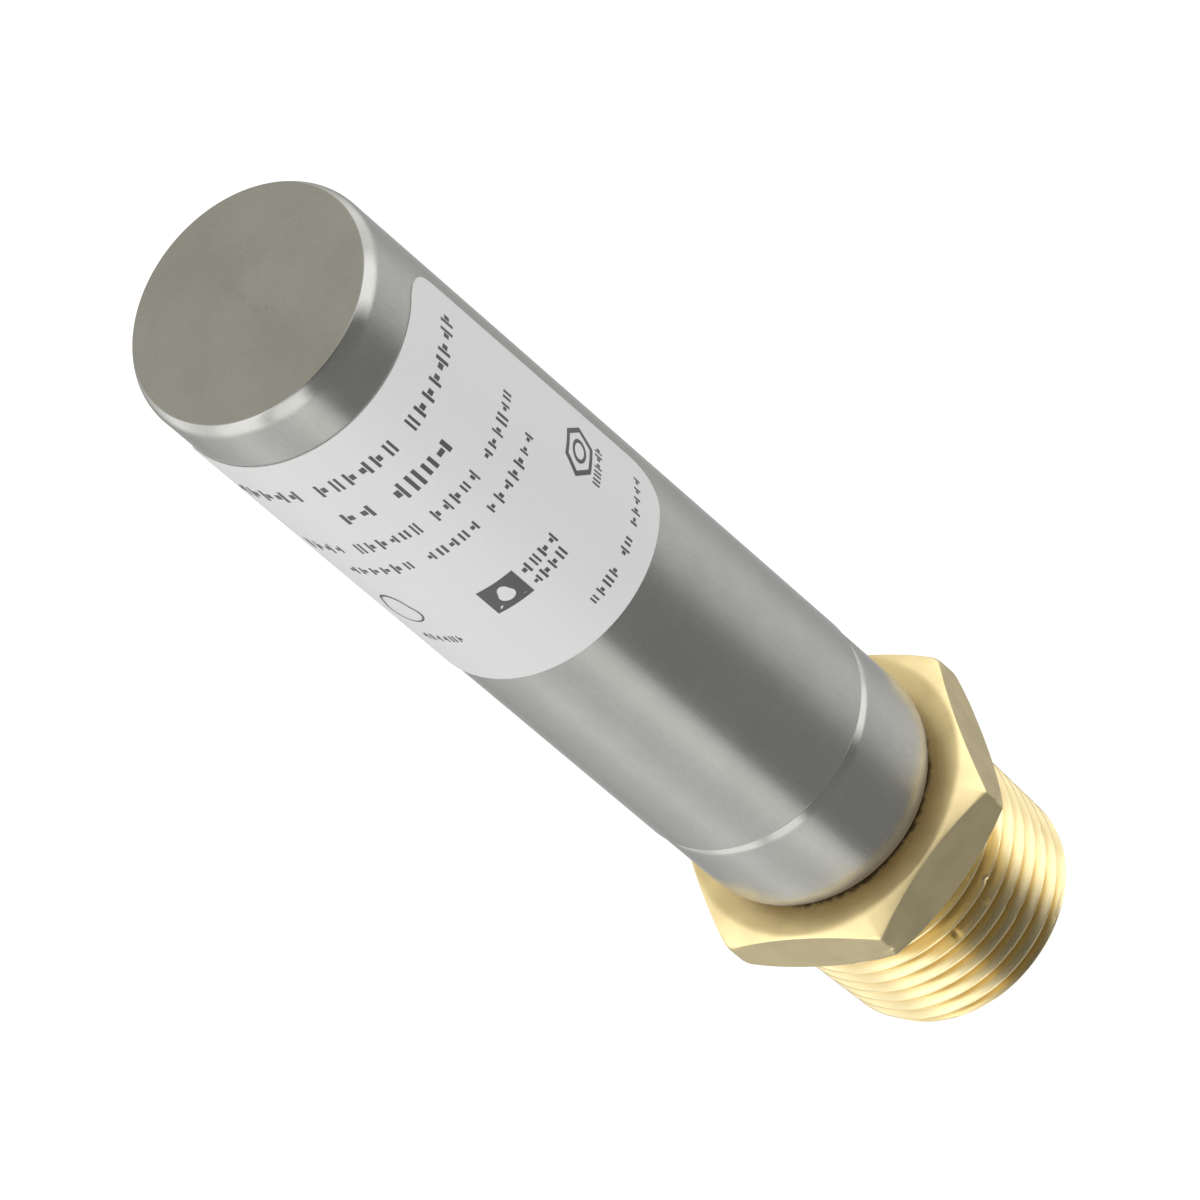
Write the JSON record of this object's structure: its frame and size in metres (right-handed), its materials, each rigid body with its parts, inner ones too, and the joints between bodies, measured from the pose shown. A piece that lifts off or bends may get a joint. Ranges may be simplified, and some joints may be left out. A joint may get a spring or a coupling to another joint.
{
  "type": "water hammer arrestor",
  "caption": "Sealed steel tube with a rounded closed end and a wrap label, rolled onto a brass hexagonal fitting with a tapered male pipe thread; an inner piston rides against trapped air.",
  "frame": {"origin": "centre of the male thread's end face, on the common axis of thread, fitting and tube", "axes": "+Z along the axis from the thread's end to the tube's closed end; +X through a corner of the hexagon, +Y through a flat of it"},
  "size_m": [0.0284, 0.0246, 0.104],
  "materials": {
    "tube_steel": "satin drawn stainless steel",
    "fitting_brass": "machined brass with fine turning marks",
    "seal_rubber": "smooth black rubber",
    "piston_plastic": "smooth turned acetal plastic",
    "label_paper": "satin white film with grey print"
  },
  "bodies": {
    "housing": {"chamber_tube": "tube_steel", "brass_fitting": "fitting_brass", "fitting_seal_ring": "seal_rubber", "wrap_label": "label_paper"},
    "piston_assembly": {"piston": "piston_plastic", "piston_ring_lower": "seal_rubber", "piston_ring_upper": "seal_rubber"}
  },
  "joints": [
    {"name": "piston_slide", "type": "slide", "parent": "housing", "child": "piston_assembly", "axis": [0, 0, 1], "range_m": [0, 0.041], "stiffness_N_per_m": 500, "springref_m": -0.01}
  ]
}
